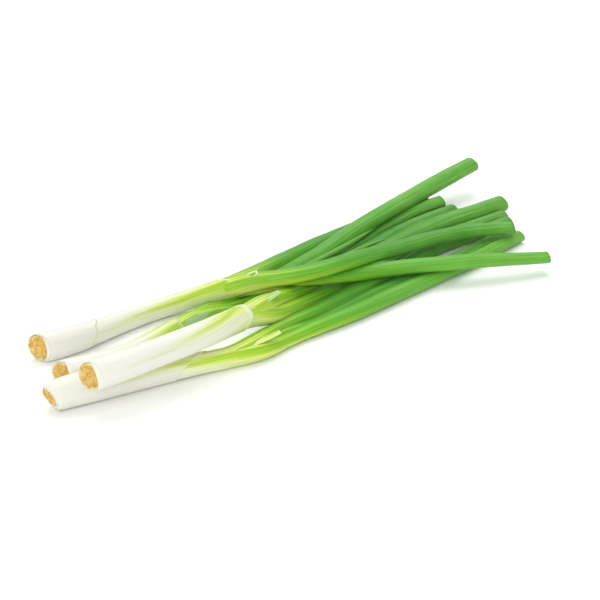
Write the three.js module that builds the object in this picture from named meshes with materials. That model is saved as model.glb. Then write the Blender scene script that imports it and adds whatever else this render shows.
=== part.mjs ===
// A bunch of four whole spring onions, lying loosely on one another with no tie.
// Millimetres, +Z up, roots towards -X and cut leaf ends towards +X. The origin is the middle of
// the underside of the whole bunch.
import * as THREE from 'three';

// Driving dimensions
const SHEATH_WALL = 0.7;
const LEAF_WALL = 0.8;
const GAP = 0.35;
const LEAF_FLATNESS = 0.85;
const STALK_SIDES = 16;
const LEAF_SIDES = 10;
const STALK_STEP = 13;
const LEAF_STEP = 14;
const PLATE_LENGTH = 2.6;
const PLATE_PROUD = 0.9;
const PLATE_BEVEL = 1.4;
const PLATE_SHOULDER = 0.3;
const TONGUE_ROWS = 5;
const TONGUE_COLUMNS = 6;
const TONGUE_WALL = 0.5;
const TONGUE_LIFT = 0.45;
const TONGUE_NARROWING = 0.6;
const LEAST_RING_STEP = 1;
const BORE_START = 26;
const WIDEST_SOLID_LEAF = 5;
const ON_TABLE = null;

const WHITE_SHEATH = { color: 0xf0f1e8, roughness: 0.35 };
const PALE_STALK = { color: 0xe4ecb4, roughness: 0.4 };
const TAN_PLATE = { color: 0xcfab52, roughness: 0.85 };
const PALE_TONGUE = { color: 0xe6ecca, roughness: 0.45 };
const GREEN_LEAF = { color: 0x5ba047, roughness: 0.45 };
const BRIGHT_LEAF = { color: 0x8cc04a, roughness: 0.45 };

// A route point is x, y, height of the middle, and width. ON_TABLE lets the piece rest on z = 0.
// bareNeck is the length of stalk past the outer sheath, and slant how far the sheath's edge leans.
// A tongue runs from one angle to another around that neck, in degrees from the back over the top.
const onions = {
  a: {
    route: [
      [-156, 24, ON_TABLE, 16.2], [-146, 22.4, ON_TABLE, 16], [-127, 23, ON_TABLE, 14.2],
      [-103, 27, ON_TABLE, 12.2], [-75, 29, ON_TABLE, 11.2], [-58, 26, 7.2, 11], [-41, 20, 10.4, 11.8],
      [-29, 15, 12.8, 12],
    ],
    bareNeck: 14,
    slant: 3,
    tongue: { from: 40, to: 130, length: 9.5 },
    leaves: {
      back: [
        [-24, 19, 12.4, 4], [-3, 30, 9.8, 8.2], [33, 44, ON_TABLE, 10], [68, 50, ON_TABLE, 9.4],
        [105, 56, ON_TABLE, 8.3], [146, 58, ON_TABLE, 7.3],
      ],
      low: [
        [-26, 14, 10.4, 4], [-19, 8, 11.8, 6.5], [-1, -2, 14.2, 8.2], [15, -9, 13.4, 8.7],
        [31, -13, 12.3, 9.2], [47, -16, 12, 9.4], [72, -28, 12.3, 9.2], [95, -39, 12.3, 9.2],
        [112, -46, 11.4, 8.1], [128, -53, 10, 7.5], [140, -56, 8.6, 7.1],
      ],
      wide: [
        [-27, 12, 15, 4.5], [-23, 6, 16.8, 8], [-16, -3, 19.2, 9.9], [-1, -12, 21.8, 9.1],
        [14, -13, 22.5, 8.9], [33, -10, 20.4, 8.7], [71, -3, 14.3, 8.7], [98, -3, 13.7, 8.3],
        [123, -6, 12.8, 8.1], [136, -12, 12.3, 7.7], [148, -19, 12.3, 7.1],
      ],
    },
  },
  b: {
    route: [
      [-163, -41, 21, 16], [-151, -44, 22.6, 15.6], [-128, -44, 23.6, 15], [-94, -39, 22, 14.6],
      [-62, -29, 18.5, 14], [-44, -24, 16.5, 13],
    ],
    bareNeck: 17,
    slant: 3,
    tongue: { from: 20, to: 100, length: 12.5 },
    leaves: {
      low: [
        [-42, -25, 11.8, 6], [-28, -20.5, 8.6, 7.6], [-16, -16, 7.4, 8], [0, -12, 5, 8.4],
        [19, -6, ON_TABLE, 8.6], [44, -1.5, ON_TABLE, 8.3], [82, 6.6, ON_TABLE, 8],
        [109, 12, ON_TABLE, 8.1], [145, 13, ON_TABLE, 7.7], [171, 15, ON_TABLE, 7],
      ],
      wide: [
        [-42, -22, 18.6, 5.5], [-26, -14, 14.2, 7.5], [-5, -3, 6.8, 8.5], [13, 2, 5, 9],
        [29, 7, 4.6, 9.4], [62, 13.2, 4.6, 9.4], [88, 18.2, 4.6, 9.8], [126, 24, 4.6, 10.2],
        [159, 24.5, 5.1, 10], [179, 25.5, 5.7, 9.2],
      ],
    },
  },
  c: {
    route: [
      [-160.5, -8, ON_TABLE, 15], [-146, -11, ON_TABLE, 15.4], [-127, -12, ON_TABLE, 14.6],
      [-95, -2, ON_TABLE, 12.5], [-72, 7, ON_TABLE, 10.6], [-56, 11.4, ON_TABLE, 9.4],
    ],
    bareNeck: 13,
    slant: 2,
    tongue: { from: 60, to: 150, length: 9.5 },
    leaves: {
      dark: [
        [-54, 9, 3, 3.4], [-36, 7, ON_TABLE, 4.5], [-25, 6, ON_TABLE, 5.7], [9, 9.4, ON_TABLE, 6],
        [39, 17.6, ON_TABLE, 6.6], [72, 26, ON_TABLE, 7.6], [99, 32, ON_TABLE, 8.8],
        [123, 35.6, ON_TABLE, 8.8], [150, 38.6, ON_TABLE, 8],
      ],
      tall: [
        [-54, 15, 3, 3.4], [-29, 20, ON_TABLE, 5.7], [-6, 22, ON_TABLE, 8.3], [19, 28, ON_TABLE, 9.2],
        [45, 35, 5, 9.4], [66, 38, 10, 9.4], [93, 44, 12.6, 9.2], [126, 53, 13.1, 9.6], [158, 60, 15, 10],
        [187, 63, 18.5, 8.9],
      ],
      young: [
        [-54, 12, 7, 2], [-35, 14, 5.3, 2], [-24, 15, 6.7, 2.5], [5, 15, 9.1, 3.3], [29, 20, 9.7, 3.5],
        [49, 25, 9.7, 3.1], [68, 31, 9.7, 2.5], [86, 37, 9.7, 1.2],
      ],
      second: [
        [-54, 12, 3, 2.4], [-35, 12, ON_TABLE, 4.3], [-23, 13, ON_TABLE, 5.7], [13, 17, 4.2, 7],
        [41, 25.4, 4, 6.8], [68, 32.8, 4, 6.6], [88, 40.4, 4.3, 6.8], [110, 44.6, 5.7, 7.2],
        [130, 47.6, 7.1, 7.4], [146, 45.4, 8.6, 7.6],
      ],
      little: [
        [-54, 9, 6.4, 2], [-37, 8, 5.5, 2.4], [-22, 8, 7.2, 2.7], [9, 11, 8.8, 3.3], [40, 15, 8.8, 3.3],
        [69, 22, 8.6, 2.5], [84, 19, 10, 1.2],
      ],
    },
  },
  d: {
    route: [
      [-177.5, -25.4, ON_TABLE, 15], [-165, -27.7, ON_TABLE, 17.6], [-150, -30, ON_TABLE, 17.2],
      [-123, -34, ON_TABLE, 15], [-94, -39, ON_TABLE, 12.2], [-79, -42, ON_TABLE, 11.4],
      [-64, -43, ON_TABLE, 11.6],
    ],
    bareNeck: 17,
    slant: 3,
    tongue: { from: 60, to: 150, length: 12.5 },
    leaves: {
      dark: [
        [-62, -42, 2.6, 2.8], [-46, -35, ON_TABLE, 3.2], [-22, -32, ON_TABLE, 4.1], [8, -29, ON_TABLE, 6.9],
        [37, -24, ON_TABLE, 7.5], [61, -22.3, ON_TABLE, 7.6], [102, -17, ON_TABLE, 7.8],
        [127, -12, ON_TABLE, 7.3], [155, -6, ON_TABLE, 6.8],
      ],
      low: [
        [-62, -46, 4.6, 4], [-47, -42, ON_TABLE, 6.1], [-22, -39, ON_TABLE, 8.9], [8, -38, ON_TABLE, 9.4],
        [46, -33, ON_TABLE, 9.4], [80, -29, ON_TABLE, 8.9], [107, -25, ON_TABLE, 8.5],
        [126, -21, ON_TABLE, 8.3], [156, -15, ON_TABLE, 7.7],
      ],
      back: [
        [-62, -41, 8.4, 4.2], [-32, -28, 5.2, 7.8], [-2, -23, ON_TABLE, 8.9], [22, -18, ON_TABLE, 9.4],
        [48, -12, ON_TABLE, 8.9], [71, -6.5, ON_TABLE, 8.6], [99, 1, ON_TABLE, 8.4],
        [121, 2.6, ON_TABLE, 8.4],
        [140, 3, ON_TABLE, 8.3], [165, 4, ON_TABLE, 7.9],
      ],
    },
  },
};
const BRIGHT_LEAVES = ['young', 'little', 'low'];

// Places along a route: middle, direction, the side that lies to the left of it, width and height.
function placesAlong(route, step, flatness, sides) {
  const flatUnderside = Math.cos(Math.PI / sides);
  const points = route.map(([x, y, z, width]) => {
    const height = z === ON_TABLE ? (width * flatness / 2) * flatUnderside : z;
    return new THREE.Vector3(x, y, height);
  });
  const curve = new THREE.CatmullRomCurve3(points, false, 'centripetal');
  const length = curve.getLength();
  const count = Math.round(length / step);
  const places = [];
  for (let i = 0; i <= count; i += 1) {
    const t = curve.getUtoTmapping(i / count);
    const along = t * (route.length - 1);
    const k = Math.min(Math.floor(along), route.length - 2);
    const [, , zBefore, widthBefore] = route[k];
    const [, , zAfter, widthAfter] = route[k + 1];
    const width = THREE.MathUtils.lerp(widthBefore, widthAfter, along - k);
    const middle = curve.getPoint(t);
    const resting = (width * flatness / 2) * flatUnderside;
    const onTable = zBefore === ON_TABLE && zAfter === ON_TABLE;
    middle.z = onTable ? resting : Math.max(middle.z, resting);
    const tangent = curve.getTangent(t).setZ(0).normalize();
    const side = new THREE.Vector3(-tangent.y, tangent.x, 0);
    places.push({ middle, tangent, side, width, height: width * flatness, reach: (i / count) * length });
  }
  return places;
}

// The angle of each corner of a ring, from the left over the top, with a flat facet at the bottom.
const cornerAngle = (k, sides) => -Math.PI / 2 + ((k + 0.5) * 2 * Math.PI) / sides;

// One ring of points around a place, shrunk by inset.
function ringAt(place, sides, inset = 0) {
  const halfWidth = place.width / 2 - inset;
  const halfHeight = place.height / 2 - inset;
  const ring = [];
  for (let k = 0; k < sides; k += 1) {
    const angle = cornerAngle(k, sides);
    const point = place.middle.clone();
    point.addScaledVector(place.side, halfWidth * Math.cos(angle));
    point.z += halfHeight * Math.sin(angle);
    ring.push(point);
  }
  return ring;
}

function geometryFrom(points, triangles) {
  const geometry = new THREE.BufferGeometry();
  geometry.setAttribute('position', new THREE.Float32BufferAttribute(points.flatMap((p) => p.toArray()), 3));
  geometry.setIndex(triangles);
  geometry.computeVertexNormals();
  return geometry;
}

// A closed skin over a list of rings. A joined list closes on itself, as a tube with two open ends
// does, and any other list is closed by a cap on its first and last ring.
function skinOver(rings, joined) {
  const sides = rings[0].length;
  const points = rings.flat();
  const triangles = [];
  const bands = joined ? rings.length : rings.length - 1;
  for (let i = 0; i < bands; i += 1) {
    const here = i * sides;
    const next = ((i + 1) % rings.length) * sides;
    for (let k = 0; k < sides; k += 1) {
      const after = (k + 1) % sides;
      triangles.push(here + k, here + after, next + after, here + k, next + after, next + k);
    }
  }
  if (!joined) {
    const last = (rings.length - 1) * sides;
    for (let k = 1; k < sides - 1; k += 1) {
      triangles.push(0, k + 1, k);
      triangles.push(last, last + k, last + k + 1);
    }
  }
  return geometryFrom(points, triangles);
}

// A thin closed sheet between two grids of points that have the same rows and columns.
function sheetBetween(outer, inner) {
  const rows = outer.length;
  const columns = outer[0].length;
  const points = [...outer.flat(), ...inner.flat()];
  const inside = rows * columns;
  const triangles = [];
  const face = (a, b, c, d) => triangles.push(a, b, c, a, c, d);
  for (let r = 0; r < rows - 1; r += 1) {
    for (let c = 0; c < columns - 1; c += 1) {
      const at = r * columns + c;
      face(at, at + 1, at + columns + 1, at + columns);
      face(inside + at, inside + at + columns, inside + at + columns + 1, inside + at + 1);
    }
    const left = r * columns;
    const right = left + columns - 1;
    face(left, left + columns, inside + left + columns, inside + left);
    face(right, inside + right, inside + right + columns, right + columns);
  }
  for (let c = 0; c < columns - 1; c += 1) {
    const end = (rows - 1) * columns + c;
    face(c, inside + c, inside + c + 1, c + 1);
    face(end, end + 1, inside + end + 1, inside + end);
  }
  return geometryFrom(points, triangles);
}

function mesh(name, geometry, look) {
  const piece = new THREE.Mesh(geometry, new THREE.MeshStandardMaterial({ ...look, metalness: 0 }));
  piece.name = name;
  return piece;
}

// The place at a given reach along a stalk, between the places on both sides of it.
function placeAt(places, reach) {
  const k = Math.max(1, places.findIndex((p) => p.reach >= reach));
  const [before, after] = [places[k - 1], places[k]];
  const share = (reach - before.reach) / (after.reach - before.reach);
  return {
    middle: before.middle.clone().lerp(after.middle, share),
    tangent: before.tangent.clone().lerp(after.tangent, share).normalize(),
    side: before.side.clone().lerp(after.side, share).normalize(),
    width: THREE.MathUtils.lerp(before.width, after.width, share),
    height: THREE.MathUtils.lerp(before.height, after.height, share),
    reach,
  };
}

// A ring whose top lies back along the stalk by slant and whose bottom lies forward by as much.
function leaningRing(places, reach, slant, sides, inset) {
  const ring = [];
  for (let k = 0; k < sides; k += 1) {
    const place = placeAt(places, reach - slant * Math.sin(cornerAngle(k, sides)));
    ring.push(ringAt(place, sides, inset)[k]);
  }
  return ring;
}

// The trimmed root plate: a low disc inside the sheath's end, standing a little proud of it.
function rootPlate(places) {
  const start = places[0];
  const inset = SHEATH_WALL + GAP;
  const discs = [
    [-PLATE_PROUD, inset + PLATE_BEVEL],
    [-PLATE_PROUD / 2, inset + PLATE_SHOULDER],
    [PLATE_LENGTH, inset],
  ];
  const rings = discs.map(([reach, shrink]) => {
    const place = { ...start, middle: start.middle.clone().addScaledVector(start.tangent, reach) };
    return ringAt(place, STALK_SIDES, shrink);
  });
  return skinOver(rings, false);
}

// The packed inner leaf bases, from the root plate to the neck where the leaves part.
function stalk(places) {
  const start = placeAt(places, PLATE_LENGTH + GAP);
  const body = places.filter((p) => p.reach > start.reach + LEAST_RING_STEP);
  const rings = [start, ...body].map((p) => ringAt(p, STALK_SIDES, SHEATH_WALL + GAP));
  return skinOver(rings, false);
}

// The outermost leaf's sheath: a thin tube around the stalk with a leaning top edge.
function outerSheath(places, bareNeck, slant) {
  const sheathEnd = places.at(-1).reach - bareNeck;
  const body = places.filter((p) => p.reach < sheathEnd - slant - LEAST_RING_STEP);
  const wall = (inset) => [
    ...body.map((p) => ringAt(p, STALK_SIDES, inset)),
    leaningRing(places, sheathEnd, slant, STALK_SIDES, inset),
  ];
  return skinOver([...wall(0), ...wall(SHEATH_WALL).reverse()], true);
}

// A tongue of the next sheath, curved around the bare neck of the stalk.
function tongue(places, { from, to, length }) {
  const start = places.at(-1).reach - length;
  const grid = (lift) => {
    const points = [];
    for (let r = 0; r < TONGUE_ROWS; r += 1) {
      const share = r / (TONGUE_ROWS - 1);
      const place = placeAt(places, start + share * length);
      const narrowing = 1 - TONGUE_NARROWING * share ** 2;
      const row = [];
      for (let c = 0; c < TONGUE_COLUMNS; c += 1) {
        const across = (c / (TONGUE_COLUMNS - 1) - 0.5) * (to - from) * narrowing;
        const angle = THREE.MathUtils.degToRad((from + to) / 2 + across);
        const radius = place.width / 2 - SHEATH_WALL - GAP + lift;
        const point = place.middle.clone().addScaledVector(place.side, radius * Math.cos(angle));
        point.z += radius * Math.sin(angle);
        row.push(point);
      }
      points.push(row);
    }
    return points;
  };
  return sheetBetween(grid(TONGUE_LIFT + TONGUE_WALL), grid(TONGUE_LIFT));
}

// A leaf blade: a flattened tube, open at its cut end and closed near its base.
function leafBlade(route) {
  const places = placesAlong(route, LEAF_STEP, LEAF_FLATNESS, LEAF_SIDES);
  const outer = places.map((p) => ringAt(p, LEAF_SIDES));
  const widest = Math.max(...places.map((p) => p.width));
  if (widest < WIDEST_SOLID_LEAF) {
    return skinOver(outer, false);
  }
  const bore = places.filter((p) => p.reach > BORE_START).map((p) => ringAt(p, LEAF_SIDES, LEAF_WALL));
  return skinOver([...outer, ...bore.reverse()], false);
}

const bunch = new THREE.Group();
for (const [letter, onion] of Object.entries(onions)) {
  const name = `onion_${letter}`;
  const places = placesAlong(onion.route, STALK_STEP, 1, STALK_SIDES);
  bunch.add(mesh(`${name}_root_plate`, rootPlate(places), TAN_PLATE));
  bunch.add(mesh(`${name}_stalk`, stalk(places), PALE_STALK));
  bunch.add(mesh(`${name}_outer_sheath`, outerSheath(places, onion.bareNeck, onion.slant), WHITE_SHEATH));
  bunch.add(mesh(`${name}_sheath_tongue`, tongue(places, onion.tongue), PALE_TONGUE));
  for (const [leaf, route] of Object.entries(onion.leaves)) {
    const look = BRIGHT_LEAVES.includes(leaf) ? BRIGHT_LEAF : GREEN_LEAF;
    bunch.add(mesh(`${name}_leaf_${leaf}`, leafBlade(route), look));
  }
}

// The bunch is moved so that the middle of its underside is the origin.
const box = new THREE.Box3().setFromObject(bunch);
const middle = box.getCenter(new THREE.Vector3());
bunch.position.set(-middle.x, -middle.y, -box.min.z);
bunch.updateMatrixWorld(true);

export default bunch;
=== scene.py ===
import math

import bmesh
import bpy
import numpy as np
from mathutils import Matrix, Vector, noise


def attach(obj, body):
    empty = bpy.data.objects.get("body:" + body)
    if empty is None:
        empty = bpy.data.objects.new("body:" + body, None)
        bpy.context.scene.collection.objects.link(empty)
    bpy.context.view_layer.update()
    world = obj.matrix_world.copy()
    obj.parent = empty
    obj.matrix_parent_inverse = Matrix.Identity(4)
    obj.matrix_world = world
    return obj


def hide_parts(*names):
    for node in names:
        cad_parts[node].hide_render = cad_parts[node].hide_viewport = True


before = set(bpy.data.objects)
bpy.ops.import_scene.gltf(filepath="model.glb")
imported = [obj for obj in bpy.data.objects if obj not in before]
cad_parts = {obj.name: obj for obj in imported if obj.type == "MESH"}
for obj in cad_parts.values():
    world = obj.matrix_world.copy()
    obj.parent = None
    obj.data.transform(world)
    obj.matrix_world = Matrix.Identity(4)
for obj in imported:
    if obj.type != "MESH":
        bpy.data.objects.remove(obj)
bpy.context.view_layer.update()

# Camera
# A long lens on a tripod, in front of the root ends and 26 degrees above the table, looks along
# the bunch to its cut leaf ends.
AIM = Vector((-0.0041, -0.0040, 0.0))
CAMERA_AZIMUTH = math.radians(-37)
CAMERA_ELEVATION = math.radians(26)
CAMERA_DISTANCE = 1.0
LENS_MM = 105.6
SENSOR_MM = 36
CAMERA_REACH = 20

camera = bpy.data.objects.new("camera", bpy.data.cameras.new("camera"))
bpy.context.scene.collection.objects.link(camera)
bpy.context.scene.camera = camera
camera.data.lens = LENS_MM
camera.data.sensor_width = SENSOR_MM
camera.data.clip_end = CAMERA_REACH
away = Vector((
    math.sin(CAMERA_AZIMUTH) * math.cos(CAMERA_ELEVATION),
    -math.cos(CAMERA_AZIMUTH) * math.cos(CAMERA_ELEVATION),
    math.sin(CAMERA_ELEVATION),
))
camera.location = AIM + away * CAMERA_DISTANCE
camera.rotation_euler = (-away).to_track_quat("-Z", "Y").to_euler()


# Floor and studio light
# The bunch lies on a wide sheet of matt white card between two large soft boxes, with a bright
# room around it, so that its shadows are short and pale.
def linear(hex_colour):
    """An sRGB hex colour as linear red, green, blue and alpha."""
    levels = [int(hex_colour[i:i + 2], 16) / 255 for i in (1, 3, 5)]
    return [v / 12.92 if v <= 0.04045 else ((v + 0.055) / 1.055) ** 2.4 for v in levels] + [1.0]


def add_node(tree, kind, inputs=None, **settings):
    """Adds a node. Settings are its properties; inputs are values, or nodes and sockets to link."""
    made = tree.nodes.new(kind)
    for name, value in settings.items():
        setattr(made, name, value)
    for name, value in (inputs or {}).items():
        if isinstance(value, bpy.types.Node):
            value = value.outputs[0]
        if isinstance(value, bpy.types.NodeSocket):
            tree.links.new(value, made.inputs[name])
        else:
            made.inputs[name].default_value = value
    return made


def new_material(name):
    """A new material without nodes, and its node tree."""
    material = bpy.data.materials.new(name)
    material.use_nodes = True
    material.node_tree.nodes.clear()
    return material, material.node_tree


mm = 0.001
FLOOR_SIZE = 8.0
CARD_GRAINS = 900.0
SOFT_BOX_SIZE = 1.6
SOFT_BOX_POWER = 18
ROOM_BRIGHTNESS = 0.72

# Matt white card looks even and without gloss, and its grain barely shows
card, tree = new_material("matt white card")
grain = add_node(tree, "ShaderNodeTexNoise", {"Scale": CARD_GRAINS, "Detail": 2.0})
relief = add_node(tree, "ShaderNodeBump", {"Strength": 0.05, "Distance": 0.2 * mm, "Height": grain})
surface = add_node(tree, "ShaderNodeBsdfPrincipled", {
    "Base Color": linear("#FBFBFA"), "Roughness": 0.9, "Normal": relief,
})
add_node(tree, "ShaderNodeOutputMaterial", {"Surface": surface})

floor_mesh = bpy.data.meshes.new("floor")
half = FLOOR_SIZE / 2
floor_corners = [(-half, -half, 0), (half, -half, 0), (half, half, 0), (-half, half, 0)]
floor_mesh.from_pydata(floor_corners, [], [(0, 1, 2, 3)])
floor_mesh.materials.append(card)
floor = bpy.data.objects.new("floor", floor_mesh)
bpy.context.scene.collection.objects.link(floor)

for name, place in (("overhead soft box", (0.35, 0.75, 1.5)), ("front fill", (-1.4, -1.2, 1.0))):
    lamp = bpy.data.lights.new(name, "AREA")
    lamp.size = SOFT_BOX_SIZE
    lamp.energy = SOFT_BOX_POWER
    soft_box = bpy.data.objects.new(name, lamp)
    soft_box.location = place
    soft_box.rotation_euler = (AIM - Vector(place)).to_track_quat("-Z", "Y").to_euler()
    bpy.context.scene.collection.objects.link(soft_box)

room = bpy.data.worlds.new("white room")
room.use_nodes = True
room.node_tree.nodes["Background"].inputs["Color"].default_value = linear("#FFFFFF")
room.node_tree.nodes["Background"].inputs["Strength"].default_value = ROOM_BRIGHTNESS
bpy.context.scene.world = room
bpy.context.scene.view_settings.view_transform = "Standard"


# Stalks
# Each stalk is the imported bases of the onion's leaves: living leaf skin, white at the root and
# striped yellow-green towards the neck, where it parts into the leaves.

# Every skin follows a route: rows of a middle, a half width and a half height, traced on the plain
# model's mesh and made longer at its ends, so that no edge of a skin runs off it.
TRACE_STEP = 3 * mm
TRACE_REACH = 2
ROUTE_STEP = 1 * mm
ROUTE_SPARE = 8 * mm
FULL_TURN = 2 * math.pi
NEARLY_FULL_TURN = 6.28
CRUMPLES_PER_METRE = 60.0
SEAM = 0.001 * mm
# An onion in its sheath is thicker than its bare stalk and starts before it. It keeps nearly one
# width at the root, and flares at the neck, where the leaves part.
SHEATH_DEPTH = 1.05 * mm
TO_STALK = 2.95 * mm
ROOT_ROWS = 10
ROOT_TAPER = 0.1 * mm
FLARE_LENGTH = 30 * mm
NECK_FLARE = {"a": 0.2, "b": 0.08, "c": 0.05, "d": 0.15}


def smoothed(values, reach):
    """Rows of values, each averaged with its neighbours over a reach of that many rows."""
    offsets = np.arange(-3 * reach, 3 * reach + 1)
    weights = np.exp(-0.5 * (offsets / reach) ** 2)
    weights /= weights.sum()
    pad = len(offsets) // 2
    before = 2 * values[0] - values[pad:0:-1]
    after = 2 * values[-1] - values[-2:-pad - 2:-1]
    padded = np.concatenate([before, values, after])
    return np.stack([np.convolve(column, weights, "valid") for column in padded.T], axis=1)


def resampled(route):
    """The same route with rows at an even distance along it, and the length of the route."""
    reach = np.concatenate([[0], np.linalg.norm(np.diff(route[:, :3], axis=0), axis=1).cumsum()])
    places = np.linspace(0, reach[-1], max(2, round(reach[-1] / ROUTE_STEP)))
    return np.stack([np.interp(places, reach, column) for column in route.T], axis=1), reach[-1]


def stretched(route, start, end):
    """The route made longer in a straight line at its start and its end."""
    first = route[0].copy()
    last = route[-1].copy()
    first[:3] -= (route[2] - route[0])[:3] / np.linalg.norm((route[2] - route[0])[:3]) * start
    last[:3] += (route[-1] - route[-3])[:3] / np.linalg.norm((route[-1] - route[-3])[:3]) * end
    return np.vstack([first, route, last])


def traced_route(node):
    """Middle, half width and half height of a CAD piece, from root to tip, in rows of five."""
    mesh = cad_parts[node].data
    corners = np.array([v.co for v in mesh.vertices])
    edges = np.array([e.vertices[:] for e in mesh.edges])
    before, after = corners[edges[:, 0]], corners[edges[:, 1]]
    low, high = corners[:, 0].min(), corners[:, 0].max()
    rows = []
    for x in np.arange(low + TRACE_STEP, high - TRACE_STEP, TRACE_STEP):
        crossing = (before[:, 0] - x) * (after[:, 0] - x) < 0
        start, run = before[crossing], (after - before)[crossing]
        cut = start + run * ((x - start[:, 0]) / run[:, 0])[:, None]
        least, most = cut.min(axis=0), cut.max(axis=0)
        middle, half_size = (least + most) / 2, (most - least) / 2
        rows.append([x, middle[1], middle[2], half_size[1], half_size[2]])
    route = smoothed(np.array(rows), TRACE_REACH)
    slope = np.gradient(route[:, 1], route[:, 0])
    route[:, 3] /= np.sqrt(1 + slope ** 2)
    end_lean = route[[0, -1], 3] * np.abs(slope[[0, -1]]) / np.sqrt(1 + slope[[0, -1]] ** 2)
    return stretched(route, route[0, 0] - low - end_lean[0], high - route[-1, 0] - end_lean[1])


stalk_routes = {}
stalk_lengths = {}
for onion in "abcd":
    route = traced_route(f"onion_{onion}_stalk")
    route[:, 3:] += SHEATH_DEPTH
    route, length = resampled(stretched(route, TO_STALK, 0))
    route[:ROOT_ROWS, 3:] = np.maximum(route[:ROOT_ROWS, 3:], route[ROOT_ROWS, 3:] - ROOT_TAPER)
    from_neck = length - np.linspace(0, length, len(route))
    route[:, 3:] *= (1 + NECK_FLARE[onion] * np.clip(1 - from_neck / FLARE_LENGTH, 0, 1))[:, None]
    stalk_routes[onion] = stretched(route, ROUTE_SPARE, 0)
    stalk_lengths[onion] = length


def wrapped_skin_tree():
    """Geometry nodes that wrap a thin skin round a route, over a range of angles."""
    tree = bpy.data.node_groups.new("wrapped skin", "GeometryNodeTree")
    face = tree.interface
    face.new_socket("Geometry", in_out="INPUT", socket_type="NodeSocketGeometry")
    for size in ("Start", "End", "Lean", "Lean Side", "Ragged", "Start Side", "Start Up", "Lift", "End Lift",
                 "Wall", "Rib Height", "Crumple", "Root Distance", "Green From", "Shoulder"):
        face.new_socket(size, in_out="INPUT", socket_type="NodeSocketFloat")
    for share in ("From Angle", "To Angle", "Narrowing", "Shoulder Share", "Ribs", "Twist", "Age", "Seed"):
        face.new_socket(share, in_out="INPUT", socket_type="NodeSocketFloat")
    for count in ("Rows", "Columns"):
        face.new_socket(count, in_out="INPUT", socket_type="NodeSocketInt")
    face.new_socket("Material", in_out="INPUT", socket_type="NodeSocketMaterial")
    face.new_socket("Geometry", in_out="OUTPUT", socket_type="NodeSocketGeometry")
    given = add_node(tree, "NodeGroupInput").outputs

    # A grid of the skin's rows and columns, with its place along, 0 to 1, and across, -0.5 to 0.5
    grid = add_node(tree, "GeometryNodeMeshGrid", {
        "Size X": 1.0, "Size Y": 1.0, "Vertices X": given["Rows"], "Vertices Y": given["Columns"],
    })
    place = add_node(tree, "ShaderNodeSeparateXYZ", {0: add_node(tree, "GeometryNodeInputPosition")}).outputs
    along = add_node(tree, "ShaderNodeMath", {0: place["X"], 1: 0.5}, operation="ADD")
    along_squared = add_node(tree, "ShaderNodeMath", {0: along, 1: along}, operation="MULTIPLY")
    along_cubed = add_node(tree, "ShaderNodeMath", {0: along_squared, 1: along}, operation="MULTIPLY")
    across = place["Y"]

    # The angle round the route, narrower towards the end of a tongue
    from_angle, to_angle = given["From Angle"], given["To Angle"]
    narrowed = add_node(tree, "ShaderNodeMath", {
        0: given["Narrowing"], 1: along_squared,
    }, operation="MULTIPLY")
    spread = add_node(tree, "ShaderNodeMath", {0: 1.0, 1: narrowed}, operation="SUBTRACT")
    span = add_node(tree, "ShaderNodeMath", {0: to_angle, 1: from_angle}, operation="SUBTRACT")
    centre = add_node(tree, "ShaderNodeMath", {0: to_angle, 1: from_angle}, operation="ADD")
    centre = add_node(tree, "ShaderNodeMath", {0: centre, 1: 0.5}, operation="MULTIPLY")
    turned = add_node(tree, "ShaderNodeMath", {0: across, 1: span}, operation="MULTIPLY")
    turned = add_node(tree, "ShaderNodeMath", {0: turned, 1: spread}, operation="MULTIPLY")
    angle = add_node(tree, "ShaderNodeMath", {0: centre, 1: turned}, operation="ADD")
    cosine = add_node(tree, "ShaderNodeMath", {0: angle}, operation="COSINE")
    sine = add_node(tree, "ShaderNodeMath", {0: angle}, operation="SINE")

    # Where the skin starts and ends at that angle: a slanted cut, and a leaning, ragged edge
    slant_side = add_node(tree, "ShaderNodeMath", {0: given["Start Side"], 1: cosine}, operation="MULTIPLY")
    slant_up = add_node(tree, "ShaderNodeMath", {0: given["Start Up"], 1: sine}, operation="MULTIPLY")
    slant = add_node(tree, "ShaderNodeMath", {0: slant_side, 1: slant_up}, operation="ADD")
    start = add_node(tree, "ShaderNodeMath", {0: given["Start"], 1: slant}, operation="ADD")
    edge_place = add_node(tree, "ShaderNodeCombineXYZ", {"X": cosine, "Y": sine, "Z": given["Seed"]})
    tearing = add_node(tree, "ShaderNodeTexNoise", {"Vector": edge_place, "Scale": 0.9, "Detail": 2.0})
    torn = add_node(tree, "ShaderNodeMath", {0: tearing, 1: 0.5}, operation="SUBTRACT")
    torn = add_node(tree, "ShaderNodeMath", {0: torn, 1: given["Ragged"]}, operation="MULTIPLY")
    lean_up = add_node(tree, "ShaderNodeMath", {0: given["Lean"], 1: sine}, operation="MULTIPLY")
    lean_side = add_node(tree, "ShaderNodeMath", {0: given["Lean Side"], 1: cosine}, operation="MULTIPLY")
    leaning = add_node(tree, "ShaderNodeMath", {0: lean_up, 1: lean_side}, operation="ADD")
    end = add_node(tree, "ShaderNodeMath", {0: given["End"], 1: leaning}, operation="SUBTRACT")
    end = add_node(tree, "ShaderNodeMath", {0: end, 1: torn}, operation="ADD")
    whole_run = add_node(tree, "ShaderNodeMath", {0: end, 1: start}, operation="SUBTRACT")
    run = add_node(tree, "ShaderNodeMath", {0: along, 1: whole_run}, operation="MULTIPLY")
    reach = add_node(tree, "ShaderNodeMath", {0: start, 1: run}, operation="ADD")
    to_end = add_node(tree, "ShaderNodeMath", {0: end, 1: reach}, operation="SUBTRACT")
    from_start = add_node(tree, "ShaderNodeMath", {0: reach, 1: start}, operation="SUBTRACT")

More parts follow.
